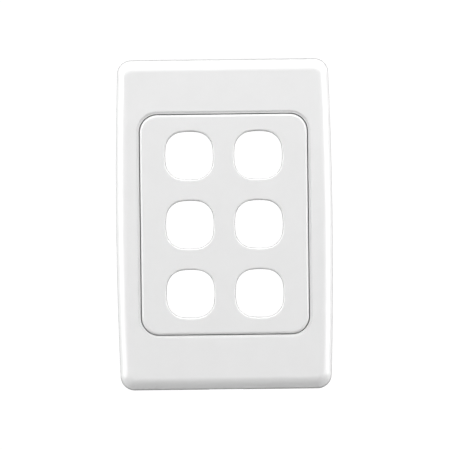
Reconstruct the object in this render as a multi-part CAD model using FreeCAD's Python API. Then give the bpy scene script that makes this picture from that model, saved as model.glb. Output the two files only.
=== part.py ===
import FreeCAD, Part
import math
import os

# A six-gang grid switch plate, in millimetres.
# A moulded grid plate screws to a wall box and carries the switch mechanisms in its cells.
# A moulded surround pushes on over it, hides the fixing screws and frames the raised platform.
# The pieces are drawn flat: x to the right, y up the wall, z out of the wall, with the wall at z = 0.
# They are stood up at the end, so that z is up and the front faces -y.

Vector = FreeCAD.Vector

# The plate's outside form
plate_width = 76.0  # across the middle, where the long sides bulge most
plate_height = 116.0
plate_depth = 9.0  # from the wall to the front face
side_bow = 1.1  # bulge of each long side over the whole height
corner_radius = 5.0
edge_roll = 3.9  # round of the front edge
roll_bands = 10  # narrow bands that make up that round
inner_roll_bands = 2  # the same, on the hidden inside
side_lean = 0.55  # inward lean of the long sides, from wall to face
end_lean = 1.2  # inward lean of the top and bottom ends

# The surround's moulding
surround_wall = 1.8
surround_face = 2.0
window_step_width = 0.83  # ledge round the window, just below the face
window_step_depth = 0.35
collar_wall = 1.4
collar_drop = 1.6  # how far the collar round the window reaches behind the face
rib_thickness = 1.0
rib_spread = 26.0  # between the two ribs of each end
notch_width = 12.0  # slot for a screwdriver blade under the bottom end
notch_height = 1.2

# The gangs
gang_columns = 2
gang_rows = 3
gang_pitch = 24.0
aperture_size = 16.6  # across the flats of the cushion-shaped hole, at the panel's back
aperture_side_radius = 21.0
aperture_corner_radius = 6.0
aperture_draft = 0.2  # how far the hole's wall opens out from the panel's back to its mouth
aperture_edge_round = 0.45
aperture_bands = 3  # narrow bands that make up that round

# The grid plate's moulding
platform_side_margin = 5.1  # from the outer gangs' cells to the platform's sides
platform_end_margin = 2.2
platform_radius = 6.1
platform_edge_round = 1.0
platform_edge_bands = 4  # narrow bands that make up that round
platform_wall = 1.8
panel_thickness = 2.2
flange_thickness = 2.6
cell_wall = 1.4
cell_wall_setback = 0.8  # of the cell walls' back edges from the wall
gusset_thickness = 1.2
gusset_spread = 18.0  # between the two gussets of each end
gusset_length = 11.0  # out from the platform along the flange
tongue_width = 9.0
tongue_slit = 1.0
tongue_root = 1.0  # material left between the panel and a tongue's slits
lug_height = 0.7
lug_length = 1.8

# Fixings and push fits
fixing_centres = 84.0
fixing_hole = 4.1
screw_head = 7.0
screw_seat_depth = 0.5
spigot_spread = 46.0  # between the two spigots of each end
spigot_diameter = 3.6
spigot_lead = 0.5
socket_wall = 1.5
socket_slit = 0.9

# Clearances
window_gap = 0.25
flange_gap = 0.5
screw_head_gap = 0.2
spigot_gap = 0.05
spigot_tip_gap = 0.6  # of the spigots' tips from the wall
socket_gap = 1.4  # of the sockets' rims from the back of the face
rib_gap = 1.8  # of the surround's ribs from the flange
gusset_gap = 0.5  # of the gussets' tops from the window's collar
through = 5.0  # how far a cutting tool runs past what it cuts

# Places that follow from the sizes above
platform_width = gang_columns * gang_pitch + 2 * platform_side_margin
platform_height = gang_rows * gang_pitch + 2 * platform_end_margin
window_width = platform_width + 2 * window_gap
window_height = platform_height + 2 * window_gap
window_radius = platform_radius + window_gap
face_back = plate_depth - surround_face
panel_back = plate_depth - panel_thickness
collar_back = face_back - collar_drop
socket_top = face_back - socket_gap
fixing_y = fixing_centres / 2
collar_outer_y = window_height / 2 + collar_wall
end_wall_inner_y = plate_height / 2 - end_lean - surround_wall
spigot_y = (collar_outer_y + end_wall_inner_y) / 2
gang_centres = [
    ((column - (gang_columns - 1) / 2) * gang_pitch, ((gang_rows - 1) / 2 - row) * gang_pitch)
    for row in range(gang_rows)
    for column in range(gang_columns)
]
spigot_centres = [(sx * spigot_spread / 2, sy * spigot_y) for sx in (-1, 1) for sy in (-1, 1)]


def edge_through(start, middle, end):
    """A straight edge where the three points are in line, and an arc where they aren't."""
    turn = (middle - start).cross(end - middle).Length
    if turn < 1e-6:
        return Part.LineSegment(start, end).toShape()
    return Part.Arc(start, middle, end).toShape()


def mirrored(points, flip_x, flip_y):
    return [Vector(point.x * flip_x, point.y * flip_y, 0) for point in points]


def four_sided_wire(quarter, z=0):
    """A closed outline, alike on both sides of each axis, from its first quarter's five points.

    They are the side's middle, the corner's start, middle and end, and the top's middle.
    """
    second = mirrored(quarter, -1, 1)[::-1]
    third = mirrored(quarter, -1, -1)
    fourth = mirrored(quarter, 1, -1)[::-1]
    points = quarter + second[1:] + third[1:] + fourth[1:-1]
    edges = [edge_through(points[i - 1], points[i], points[i + 1]) for i in range(0, len(points), 2)]
    wire = Part.Wire(edges)
    wire.translate(Vector(0, 0, z))
    return wire


def corner_points(corner, radius, tangent, far_tangent):
    """The points of a round corner: where it starts, its middle and where it ends."""
    middle_way = (tangent - corner).normalize() + (far_tangent - corner).normalize()
    return [tangent, corner + middle_way.normalize() * radius, far_tangent]


def bowed_outline(inset, lean, z):
    """The plate's outline, drawn in by an inset and a share of the walls' lean: bowed sides, flat ends."""
    half_width = plate_width / 2 - inset - lean * side_lean
    half_height = plate_height / 2 - inset - lean * end_lean
    radius = max(corner_radius - inset, surround_wall / 2)
    bow_radius = ((plate_height / 2) ** 2 + side_bow**2) / (2 * side_bow)
    bow_centre = Vector(half_width - bow_radius, 0, 0)
    corner_y = half_height - radius
    corner_x = bow_centre.x + math.sqrt((bow_radius - radius) ** 2 - corner_y**2)
    corner = Vector(corner_x, corner_y, 0)
    side_end = bow_centre + (corner - bow_centre) * (bow_radius / (bow_radius - radius))
    top_end = Vector(corner_x, half_height, 0)
    corner_run = corner_points(corner, radius, side_end, top_end)
    return four_sided_wire([Vector(half_width, 0, 0), *corner_run, Vector(0, half_height, 0)], z)


def rounded_outline(width, height, radius, z):
    """A rectangle with round corners."""
    x = width / 2
    y = height / 2
    corner = Vector(x - radius, y - radius, 0)
    corner_run = corner_points(corner, radius, corner + Vector(radius, 0, 0), corner + Vector(0, radius, 0))
    return four_sided_wire([Vector(x, 0, 0), *corner_run, Vector(0, y, 0)], z)


def cushion_outline(grow, z):
    """The mechanisms' hole, let out by grow: four gently bowed sides that run into four round corners."""
    half = aperture_size / 2
    offset = aperture_side_radius - half
    between = aperture_side_radius - aperture_corner_radius
    corner_xy = (math.sqrt(2 * between**2 - offset**2) - offset) / 2
    corner = Vector(corner_xy, corner_xy, 0)
    side_centre = Vector(-offset, 0, 0)
    side_end = side_centre + (corner - side_centre) * ((aperture_side_radius + grow) / between)
    top_end = Vector(side_end.y, side_end.x, 0)
    corner_run = corner_points(corner, aperture_corner_radius + grow, side_end, top_end)
    return four_sided_wire([Vector(half + grow, 0, 0), *corner_run, Vector(0, half + grow, 0)], z)


def box(x0, x1, y0, y1, z0, z1):
    return Part.makeBox(x1 - x0, y1 - y0, z1 - z0, Vector(x0, y0, z0))


def cylinder(radius, x, y, z0, z1):
    return Part.makeCylinder(radius, z1 - z0, Vector(x, y, z0))


def rounded_block(width, height, radius, z0, z1):
    """A block centred on the plate, with its four upright corners rounded."""
    return Part.Face(rounded_outline(width, height, radius, z0)).extrude(Vector(0, 0, z1 - z0))


def banded_loft(outlines):
    """A solid through a stack of like outlines, with straight-ruled bands between them."""
    return Part.makeLoft(outlines, True, True)


def quarter_round(face, radius, bands):
    """A rounded edge's steps, from its side up to its face: how far each is drawn in, and its height."""
    turns = [math.pi / 2 * step / bands for step in range(bands + 1)]
    return [(radius * (1 - math.cos(turn)), face - radius * (1 - math.sin(turn))) for turn in turns]


def rolled_block(inset, height, roll, bands):
    """The plate's form drawn in by an inset: leaning walls from the wall up to a rolled front edge."""
    outlines = [bowed_outline(inset, 0, 0)]
    for drawn_in, z in quarter_round(height, roll, bands):
        outlines.append(bowed_outline(inset + drawn_in, z / plate_depth, z))
    return banded_loft(outlines)


def wedge_lug(x, side, y):
    """A snap lug on a cell wall's face at x, pointing to a side (1 or -1), with a sloped lead-in behind."""
    back = cell_wall_setback
    shoulder = back + lug_length
    profile = Part.makePolygon(
        [
            Vector(x, 0, back),
            Vector(x + side * lug_height, 0, shoulder),
            Vector(x, 0, shoulder + lug_height),
            Vector(x, 0, back),
        ]
    )
    lug = Part.Face(profile).extrude(Vector(0, tongue_width, 0))
    lug.translate(Vector(0, y - tongue_width / 2, 0))
    return lug


def surround_shell():
    """The outer skin with its hollow back, and the stepped window with its collar."""
    inner_roll = max(edge_roll - surround_wall, surround_wall / 4)
    hollow = rolled_block(surround_wall, face_back, inner_roll, inner_roll_bands)
    skin = rolled_block(0, plate_depth, edge_roll, roll_bands).cut(hollow)
    collar = rounded_block(
        window_width + 2 * collar_wall,
        window_height + 2 * collar_wall,
        window_radius + collar_wall,
        collar_back,
        face_back,
    )
    window = rounded_block(window_width, window_height, window_radius, -through, plate_depth + through)
    step = rounded_block(
        window_width + 2 * window_step_width,
        window_height + 2 * window_step_width,
        window_radius + window_step_width,
        plate_depth - window_step_depth,
        plate_depth + through,
    )
    return skin.fuse(collar).cut(window).cut(step)


def surround_spigot(x, y):
    """A round peg with a tapered tip, from the back of the face into its socket."""
    radius = spigot_diameter / 2
    tip = spigot_tip_gap
    peg = cylinder(radius, x, y, tip + spigot_lead, face_back)
    point = Part.makeCone(radius - spigot_lead, radius, spigot_lead, Vector(x, y, tip))
    return peg.fuse(point)


def surround_rib(x, end):
    """A stiffening rib behind the face, from the window's collar to the end wall (end is 1 at the top)."""
    near = window_height / 2 + collar_wall / 2
    far = plate_height / 2 - end_lean * face_back / plate_depth - surround_wall / 2
    low, high = sorted((end * near, end * far))
    half = rib_thickness / 2
    return box(x - half, x + half, low, high, flange_thickness + rib_gap, face_back)


def make_surround():
    shape = surround_shell()
    for x, y in spigot_centres:
        shape = shape.fuse(surround_spigot(x, y))
    for sx in (-1, 1):
        for end in (-1, 1):
            shape = shape.fuse(surround_rib(sx * rib_spread / 2, end))
    bottom = -plate_height / 2
    notch = box(
        -notch_width / 2,
        notch_width / 2,
        bottom - through,
        bottom + surround_wall + flange_gap,
        -through,
        notch_height,
    )
    return shape.cut(notch).removeSplitter()


def platform_block():
    """The platform's outside, with its front edge rounded."""
    outlines = [rounded_outline(platform_width, platform_height, platform_radius, 0)]
    for drawn_in, z in quarter_round(plate_depth, platform_edge_round, platform_edge_bands):
        width = platform_width - 2 * drawn_in
        height = platform_height - 2 * drawn_in
        outlines.append(rounded_outline(width, height, platform_radius - drawn_in, z))
    return banded_loft(outlines)


def platform_shell():
    """The raised platform, hollow from behind, on the flange."""
    flange_outline = bowed_outline(surround_wall + flange_gap, flange_thickness / plate_depth, 0)
    flange = Part.Face(flange_outline).extrude(Vector(0, 0, flange_thickness))
    hollow = rounded_block(
        platform_width - 2 * platform_wall,
        platform_height - 2 * platform_wall,
        platform_radius - platform_wall,
        -through,
        panel_back,
    )
    return flange.fuse(platform_block()).cut(hollow)


def cell_walls():
    """The walls round the cells: upright ones beside every column, level ones above and below every row."""
    half = cell_wall / 2
    reach_x = gang_columns * gang_pitch / 2
    reach_y = gang_rows * gang_pitch / 2
    top = panel_back + panel_thickness / 2
    walls = []
    for column in range(gang_columns + 1):
        x = column * gang_pitch - reach_x
        walls.append(box(x - half, x + half, -reach_y, reach_y, cell_wall_setback, top))
    for row in range(gang_rows + 1):
        y = row * gang_pitch - reach_y
        walls.append(box(-reach_x - half, reach_x + half, y - half, y + half, cell_wall_setback, top))
    return walls


def tongue_slits(y):
    """The slits that free a springy tongue in each outer cell wall, beside the gang at height y."""
    reach_x = gang_columns * gang_pitch / 2
    half = cell_wall
    slits = []
    for side in (-1, 1):
        for end in (-1, 1):
            middle = y + end * (tongue_width + tongue_slit) / 2
            slits.append(
                box(
                    side * reach_x - half,
                    side * reach_x + half,
                    middle - tongue_slit / 2,
                    middle + tongue_slit / 2,
                    -through,
                    panel_back - tongue_root,
                )
            )
    return slits


def spigot_socket(x, y):
    """A split collar on the flange that grips a spigot of the surround."""
    bore = spigot_diameter / 2 + spigot_gap
    collar = cylinder(bore + socket_wall, x, y, flange_thickness / 2, socket_top)
    reach = bore + socket_wall + socket_slit
    half = socket_slit / 2
    slit = box(x - reach, x + reach, y - half, y + half, flange_thickness, socket_top + through)
    return collar.cut(slit)


def flange_gusset(x, end):
    """A three-cornered web that stiffens the flange against the platform's end (end is 1 at the top)."""
    foot = platform_height / 2 - platform_wall / 2
    tip = platform_height / 2 + gusset_length
    sunk = flange_thickness / 2
    profile = Part.makePolygon(
        [
            Vector(0, end * foot, sunk),
            Vector(0, end * tip, sunk),
            Vector(0, end * tip, flange_thickness),
            Vector(0, end * foot, collar_back - gusset_gap),
            Vector(0, end * foot, sunk),
        ]
    )
    gusset = Part.Face(profile).extrude(Vector(gusset_thickness, 0, 0))
    gusset.translate(Vector(x - gusset_thickness / 2, 0, 0))
    return gusset


def fixing_cut(y):
    """The clearance hole for a fixing screw and the flat seat for its head."""
    hole = cylinder(fixing_hole / 2, 0, y, -through, flange_thickness + through)
    seat_floor = flange_thickness - screw_seat_depth
    seat = cylinder(screw_head / 2 + screw_head_gap, 0, y, seat_floor, face_back)
    return hole.fuse(seat)


def aperture_cut(x, y):
    """The hole for a mechanism in the panel: a wall with draft, and a mouth rounded out to the face."""
    outlines = [cushion_outline(0, panel_back - panel_thickness), cushion_outline(0, panel_back)]
    for drawn_out, z in quarter_round(plate_depth, aperture_edge_round, aperture_bands):
        outlines.append(cushion_outline(aperture_draft + drawn_out, z))
    outlines.append(cushion_outline(aperture_draft + aperture_edge_round, plate_depth + through))
    hole = banded_loft(outlines)
    hole.translate(Vector(x, y, 0))
    return hole


def make_grid_plate():
    shape = platform_shell()
    for wall in cell_walls():
        shape = shape.fuse(wall)
    for row in range(gang_rows):
        for slit in tongue_slits(gang_centres[row * gang_columns][1]):
            shape = shape.cut(slit)
    inner = (gang_pitch - cell_wall) / 2
    for x, y in gang_centres:
        for side in (-1, 1):
            shape = shape.fuse(wedge_lug(x + side * inner, -side, y))
    for sx in (-1, 1):
        for end in (-1, 1):
            shape = shape.fuse(flange_gusset(sx * gusset_spread / 2, end))
    for x, y in spigot_centres:
        shape = shape.fuse(spigot_socket(x, y))
        shape = shape.cut(cylinder(spigot_diameter / 2 + spigot_gap, x, y, -through, plate_depth))
    for end in (-1, 1):
        shape = shape.cut(fixing_cut(end * fixing_y))
    for x, y in gang_centres:
        shape = shape.cut(aperture_cut(x, y))
    return shape.removeSplitter()


def stand_up(shape):
    """Turns a piece from the flat drawing to the wall: z up, front towards -y."""
    turned = shape.copy()
    turned.rotate(Vector(), Vector(1, 0, 0), 90)
    return turned


def main():
    os.makedirs("parts", exist_ok=True)
    pieces = {"grid_plate": make_grid_plate(), "surround": make_surround()}
    for name, shape in pieces.items():
        solid = stand_up(shape)
        solid.exportStep(f"parts/{name}.step")
        print(name, "solids", len(solid.Solids), "valid", solid.isValid(), "volume", round(solid.Volume, 1))


main()
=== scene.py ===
import math

import bmesh
import bpy
from mathutils import Matrix, Vector


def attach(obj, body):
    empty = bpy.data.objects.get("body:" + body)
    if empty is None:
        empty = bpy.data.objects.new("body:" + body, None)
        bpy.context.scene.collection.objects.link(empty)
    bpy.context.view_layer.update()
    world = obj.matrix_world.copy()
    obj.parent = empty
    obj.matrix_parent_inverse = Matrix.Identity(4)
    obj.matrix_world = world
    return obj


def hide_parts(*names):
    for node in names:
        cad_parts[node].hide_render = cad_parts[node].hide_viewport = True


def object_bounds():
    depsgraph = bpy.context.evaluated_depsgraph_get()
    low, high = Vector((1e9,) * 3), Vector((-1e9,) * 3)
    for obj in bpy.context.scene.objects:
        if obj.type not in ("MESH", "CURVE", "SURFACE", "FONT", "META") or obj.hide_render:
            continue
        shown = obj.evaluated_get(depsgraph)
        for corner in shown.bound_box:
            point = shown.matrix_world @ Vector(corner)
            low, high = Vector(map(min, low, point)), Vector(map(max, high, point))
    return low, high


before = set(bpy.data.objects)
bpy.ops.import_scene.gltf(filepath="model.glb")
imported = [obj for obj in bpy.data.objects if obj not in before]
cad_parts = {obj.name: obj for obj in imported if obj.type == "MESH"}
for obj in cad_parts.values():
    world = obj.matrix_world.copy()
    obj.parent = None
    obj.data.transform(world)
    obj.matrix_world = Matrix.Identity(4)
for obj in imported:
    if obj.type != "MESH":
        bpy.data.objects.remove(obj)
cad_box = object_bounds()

# How the plate lies in its picture, in pixels of the square image.
IMAGE_SIZE = 450
PLATE_HEIGHT_IN_PIXELS = 330.2
PLATE_CENTRE = (224.4, 224.3)
PLATE_TURN = math.radians(0.68)

# The camera: its distance from the plate's back and its reach in metres, and its sensor in millimetres.
CAMERA_DISTANCE = 0.70
CAMERA_REACH = 20.0
SENSOR_WIDTH = 36.0

# The mouldings' shading: faces within FLAT_ANGLE are one flat, edges up to ROUND_ANGLE belong to a round,
# and a face whose normal points to the rear by more than BACK_FACING has the rear finish.
FLAT_ANGLE = math.radians(0.4)
ROUND_ANGLE = math.radians(34)
BACK_FACING = 0.5
WELD_DISTANCE = 1e-6

# The plastic's two whites, its faint clouds and its fine grain.
SURROUND_WHITE = 0.868
GRID_WHITE = 0.862
CLOUD = {"Scale": 110.0, "Detail": 4.0, "Roughness": 0.6}
CLOUD_MIDDLE = 0.5
CLOUD_SHADE = 0.95
GRAIN = {"Scale": 4200.0, "Detail": 2.0}
REFRACTION = 1.52

# The roughness in front, how far the clouds sway it, what the back adds and what a pin's mark takes away.
FRONT_ROUGHNESS = 0.20
CLOUD_SWAY = 0.06
BACK_DULLING = 0.26
PIN_POLISH = 0.14

# The relief: its unit in metres, and in that unit the grain in front, what the back adds, and a pin's mark.
RELIEF_UNIT = 0.0001
FRONT_GRAIN = 0.04
BACK_GRAIN = 0.12
PIN_DEPTH = 1.5

# The marks that the ejector pins leave on the grid plate's back, in metres: their places in one quarter of
# the plate, their radius and the width of their soft edge.
PIN_PLACES = ((0.031, 0.0), (0.031, 0.028), (0.012, 0.049))
PIN_RADIUS = 0.0022
PIN_EDGE = 0.0002

# The floor, in metres below the plate and across, and how much light it throws back unseen and seen.
FLOOR_DROP = 0.75
FLOOR_SIZE = 11.0
FLOOR_BOUNCE = 0.55
FLOOR_SHADE = 0.1

# The soft panels above, at both sides and behind: size and place in metres, power in watts.
OVERHEAD_SIZE = (1.2, 1.1)
OVERHEAD_PLACE = (0.0, -0.45, 1.0)
OVERHEAD_POWER = 15.0
SIDE_SIZE = (1.1, 1.0)
SIDE_PLACE = (1.0, -0.42, 0.32)
SIDE_POWER = 14.0
BACK_SIZE = (1.0, 0.8)
BACK_PLACE = (0.0, 1.2, 0.1)
BACK_POWER = 12.0

# The backdrop is white straight behind the plate. It turns pale grey between two angles off that line, and
# between two angles below the horizon, where the floor starts.
BACKDROP_EDGE = (math.cos(math.radians(22)), math.cos(math.radians(10)))
BACKDROP_FOOT = (math.sin(math.radians(-8.0)), math.sin(math.radians(-6.9)))
BACKDROP_WHITE = 1.05
PALE_GREY = 0.70
ROOM_GREY = 0.08


class Value:
    """A number that a shader socket carries, with the arithmetic that the finishes use."""

    def __init__(self, sheet, socket):
        self.sheet = sheet
        self.socket = socket

    def _math(self, operation, *values):
        node = self.sheet.add("ShaderNodeMath", {"operation": operation}, dict(enumerate(values)))
        return Value(self.sheet, node.outputs[0])

    def __add__(self, other):
        return self._math("ADD", self, other)

    def __radd__(self, other):
        return self._math("ADD", other, self)

    def __sub__(self, other):
        return self._math("SUBTRACT", self, other)

    def __rsub__(self, other):
        return self._math("SUBTRACT", other, self)

    def __mul__(self, other):
        return self._math("MULTIPLY", self, other)

    def __rmul__(self, other):
        return self._math("MULTIPLY", other, self)

    def __pow__(self, power):
        return self._math("POWER", self, power)

    def __abs__(self):
        return self._math("ABSOLUTE", self)

    def rise(self, low, high):
        """0 below low, 1 above high and a smooth rise between them."""
        node = self.sheet.add(
            "ShaderNodeMapRange",
            {"interpolation_type": "SMOOTHSTEP"},
            {"Value": self, "From Min": low, "From Max": high},
        )
        return Value(self.sheet, node.outputs["Result"])


class NodeSheet:
    """A node tree with one way to add a node: its type, its settings and what its sockets hold."""

    def __init__(self, tree):
        self.tree = tree
        tree.nodes.clear()

    def add(self, kind, settings=None, inputs=None):
        node = self.tree.nodes.new(kind)
        for name, setting in (settings or {}).items():
            setattr(node, name, setting)
        for name, value in (inputs or {}).items():
            source = value.socket if isinstance(value, Value) else value
            if isinstance(source, bpy.types.NodeSocket):
                self.tree.links.new(source, node.inputs[name])
            else:
                node.inputs[name].default_value = source
        return node

    def value(self, kind, output, settings=None, inputs=None):
        """A new node's output, as a number to reckon with."""
        return Value(self, self.add(kind, settings, inputs).outputs[output])

    def axes(self, vector):
        """The x, y and z of a vector socket."""
        split = self.add("ShaderNodeSeparateXYZ", None, {"Vector": vector})
        return [Value(self, socket) for socket in split.outputs]


def grey(level):
    """A neutral colour."""
    return (level, level, level, 1.0)


def new_sheet(name):
    """A new material and its empty node sheet."""
    material = bpy.data.materials.new(name)
    material.use_nodes = True
    return material, NodeSheet(material.node_tree)


def pin_marks(sheet, place):
    """1 inside the round marks of the ejector pins, alike in the plate's four quarters, 0 elsewhere."""
    x, _, z = sheet.axes(place)
    marks = 0.0
    for pin_x, pin_z in PIN_PLACES:
        off = ((abs(x) - pin_x) ** 2 + (abs(z) - pin_z) ** 2) ** 0.5
        marks = marks + (1 - off.rise(PIN_RADIUS - PIN_EDGE, PIN_RADIUS))
    return marks


def moulded_plastic(name, white, pinned):
    """White injection-moulded plastic: glossy and faintly clouded in front, dull and grained at the back.

    Where pinned, the back has the shallow round marks of the mould's ejector pins.
    """
    material, sheet = new_sheet(name)
    place = sheet.add("ShaderNodeTexCoord").outputs["Object"]
    back = sheet.value("ShaderNodeAttribute", "Fac", {"attribute_name": "back"})
    cloud = sheet.value("ShaderNodeTexNoise", "Fac", None, {"Vector": place, **CLOUD})
    grain = sheet.value("ShaderNodeTexNoise", "Fac", None, {"Vector": place, **GRAIN})
    relief = grain * (FRONT_GRAIN + back * BACK_GRAIN)
    dulling = back * BACK_DULLING
    if pinned:
        marks = pin_marks(sheet, place) * back
        relief = relief - marks * PIN_DEPTH
        dulling = dulling - marks * PIN_POLISH
    shade = sheet.add(
        "ShaderNodeMix",
        {"data_type": "RGBA"},
        {"Factor": cloud, "A": grey(white * CLOUD_SHADE), "B": grey(white)},
    )
    bump = sheet.add("ShaderNodeBump", None, {"Strength": 1.0, "Distance": RELIEF_UNIT, "Height": relief})
    skin = sheet.add(
        "ShaderNodeBsdfPrincipled",
        None,
        {
            "Base Color": shade.outputs["Result"],
            "Roughness": FRONT_ROUGHNESS + (cloud - CLOUD_MIDDLE) * CLOUD_SWAY + dulling,
            "IOR": REFRACTION,
            "Normal": bump.outputs["Normal"],
        },
    )
    sheet.add("ShaderNodeOutputMaterial", None, {"Surface": skin.outputs["BSDF"]})
    return material


def flat_areas(mesh):
    """For each face, the area of the whole flat that it is part of."""
    areas = {}
    for first in mesh.faces:
        if first in areas:
            continue
        flat = [first]
        met = {first}
        for face in flat:
            for edge in face.edges:
                for other in edge.link_faces:
                    if other not in met and other.normal.angle(first.normal, math.pi) < FLAT_ANGLE:
                        met.add(other)
                        flat.append(other)
        total = sum(face.calc_area() for face in flat)
        areas.update((face, total) for face in flat)
    return areas


def round_fan(corner):
    """The faces about a corner's vertex that one rounded surface joins to the corner's face."""
    fan = [corner.face]
    for face in fan:
        for edge in face.edges:
            if corner.vert in edge.verts and edge.calc_face_angle(math.pi) < ROUND_ANGLE:
                fan += [other for other in edge.link_faces if other not in fan]
    return fan


def moulding(node, body, material):
    """A welded copy of a moulded piece whose narrow bands shade as true rounds beside true flats."""
    mesh = bmesh.new()
    mesh.from_mesh(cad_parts[node].data)
    bmesh.ops.remove_doubles(mesh, verts=mesh.verts, dist=WELD_DISTANCE)
    mesh.normal_update()
    areas = flat_areas(mesh)
    normals = []
    for face in mesh.faces:
        face.smooth = True
        for corner in face.loops:
            fan = round_fan(corner)
            normals.append(sum((near.normal * areas[near] for near in fan), Vector()).normalized())
    backs = [float(face.normal.y > BACK_FACING) for face in mesh.faces]

    data = bpy.data.meshes.new(node + "_moulding")
    mesh.to_mesh(data)
    mesh.free()
    data.attributes.new("back", "FLOAT", "FACE").data.foreach_set("value", backs)
    data.normals_split_custom_set(normals)
    data.materials.clear()
    data.materials.append(material)
    piece = bpy.data.objects.new(node + "_moulding", data)
    bpy.context.scene.collection.objects.link(piece)
    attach(piece, body)
    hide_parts(node)


def pale_floor_finish():
    """A pale floor that throws back soft light and looks evenly lit."""
    material, sheet = new_sheet("pale_floor")
    seen = sheet.value("ShaderNodeLightPath", "Is Camera Ray")
    matt = sheet.add("ShaderNodeBsdfDiffuse", None, {"Color": grey(FLOOR_BOUNCE)})
    faint = sheet.add("ShaderNodeBsdfDiffuse", None, {"Color": grey(FLOOR_SHADE)})
    glow = sheet.add("ShaderNodeEmission", None, {"Strength": PALE_GREY})
    lit = sheet.add("ShaderNodeAddShader", None, {0: faint.outputs["BSDF"], 1: glow.outputs["Emission"]})
    skin = sheet.add(
        "ShaderNodeMixShader",
        None,
        {0: seen, 1: matt.outputs["BSDF"], 2: lit.outputs["Shader"]},
    )
    sheet.add("ShaderNodeOutputMaterial", None, {"Surface": skin.outputs["Shader"]})
    return material


def lay_floor(bottom):
    """A square floor, well below the plate's lowest point."""
    half = FLOOR_SIZE / 2
    height = bottom - FLOOR_DROP
    corners = [(x * half, y * half, height) for x, y in ((-1, -1), (1, -1), (1, 1), (-1, 1))]
    mesh = bpy.data.meshes.new("floor")
    mesh.from_pydata(corners, [], [(0, 1, 2, 3)])
    mesh.materials.append(pale_floor_finish())
    floor = bpy.data.objects.new("floor", mesh)
    bpy.context.scene.collection.objects.link(floor)


def hang_panel(name, place, facing, size, power):
    """A rectangular soft light at a place, turned to face a point."""
    light = bpy.data.lights.new(name, "AREA")
    light.shape = "RECTANGLE"
    light.size, light.size_y = size
    light.energy = power
    lamp = bpy.data.objects.new(name, light)
    lamp.location = place
    lamp.rotation_euler = (Vector(facing) - Vector(place)).to_track_quat("-Z", "Z").to_euler()
    bpy.context.scene.collection.objects.link(lamp)
    return lamp


def light_studio():
    """Panels above and at both sides in front of the plate, and one behind that its gloss doesn't mirror."""
    x, y, _ = OVERHEAD_PLACE
    hang_panel("overhead_panel", OVERHEAD_PLACE, (x, y, 0), OVERHEAD_SIZE, OVERHEAD_POWER)
    x, y, z = SIDE_PLACE
    for side in (-1, 1):
        hang_panel("side_panel", (side * x, y, z), (0, y, z), SIDE_SIZE, SIDE_POWER)
    back = hang_panel("back_panel", BACK_PLACE, (0, 0, 0), BACK_SIZE, BACK_POWER)
    back.visible_glossy = False


def paint_world():
    """A dim room, in which the camera sees a white backdrop behind the plate and pale grey elsewhere."""
    world = bpy.data.worlds.new("studio")
    world.use_nodes = True
    bpy.context.scene.world = world
    sheet = NodeSheet(world.node_tree)
    seen = sheet.value("ShaderNodeLightPath", "Is Camera Ray")
    _, ahead, up = sheet.axes(sheet.add("ShaderNodeTexCoord").outputs["Generated"])
    white = ahead.rise(*BACKDROP_EDGE) * up.rise(*BACKDROP_FOOT)
    backdrop = PALE_GREY + white * (BACKDROP_WHITE - PALE_GREY)
    strength = ROOM_GREY + seen * (backdrop - ROOM_GREY)
    sky = sheet.add("ShaderNodeBackground", None, {"Color": grey(1.0), "Strength": strength})
    sheet.add("ShaderNodeOutputWorld", None, {"Surface": sky.outputs["Background"]})


def place_camera(low, high):
    """Square to the plate's front, at the distance and turn of the picture."""
    metres_per_pixel = (high.z - low.z) / PLATE_HEIGHT_IN_PIXELS
    lens = bpy.data.cameras.new("camera")
    lens.sensor_width = SENSOR_WIDTH
    lens.lens = SENSOR_WIDTH * CAMERA_DISTANCE / (IMAGE_SIZE * metres_per_pixel)
    lens.clip_end = CAMERA_REACH
    camera = bpy.data.objects.new("camera", lens)
    across = (IMAGE_SIZE / 2 - PLATE_CENTRE[0]) * metres_per_pixel
    up = (PLATE_CENTRE[1] - IMAGE_SIZE / 2) * metres_per_pixel
    centre = (low + high) / 2
    turn = Matrix.Rotation(PLATE_TURN, 4, "Y")
    offset = turn @ Vector((across, 0, up))
    stand = Matrix.Translation((centre.x + offset.x, high.y - CAMERA_DISTANCE, centre.z + offset.z))
    camera.matrix_world = stand @ turn @ Matrix.Rotation(math.pi / 2, 4, "X")
    bpy.context.scene.collection.objects.link(camera)
    bpy.context.scene.camera = camera


low, high = cad_box
surround_plastic = moulded_plastic("surround_plastic", SURROUND_WHITE, pinned=False)
grid_plastic = moulded_plastic("grid_plastic", GRID_WHITE, pinned=True)
moulding("surround", "cover", surround_plastic)
moulding("grid_plate", "grid", grid_plastic)
lay_floor(low.z)
paint_world()
light_studio()
place_camera(low, high)
bpy.context.scene.view_settings.view_transform = "Standard"
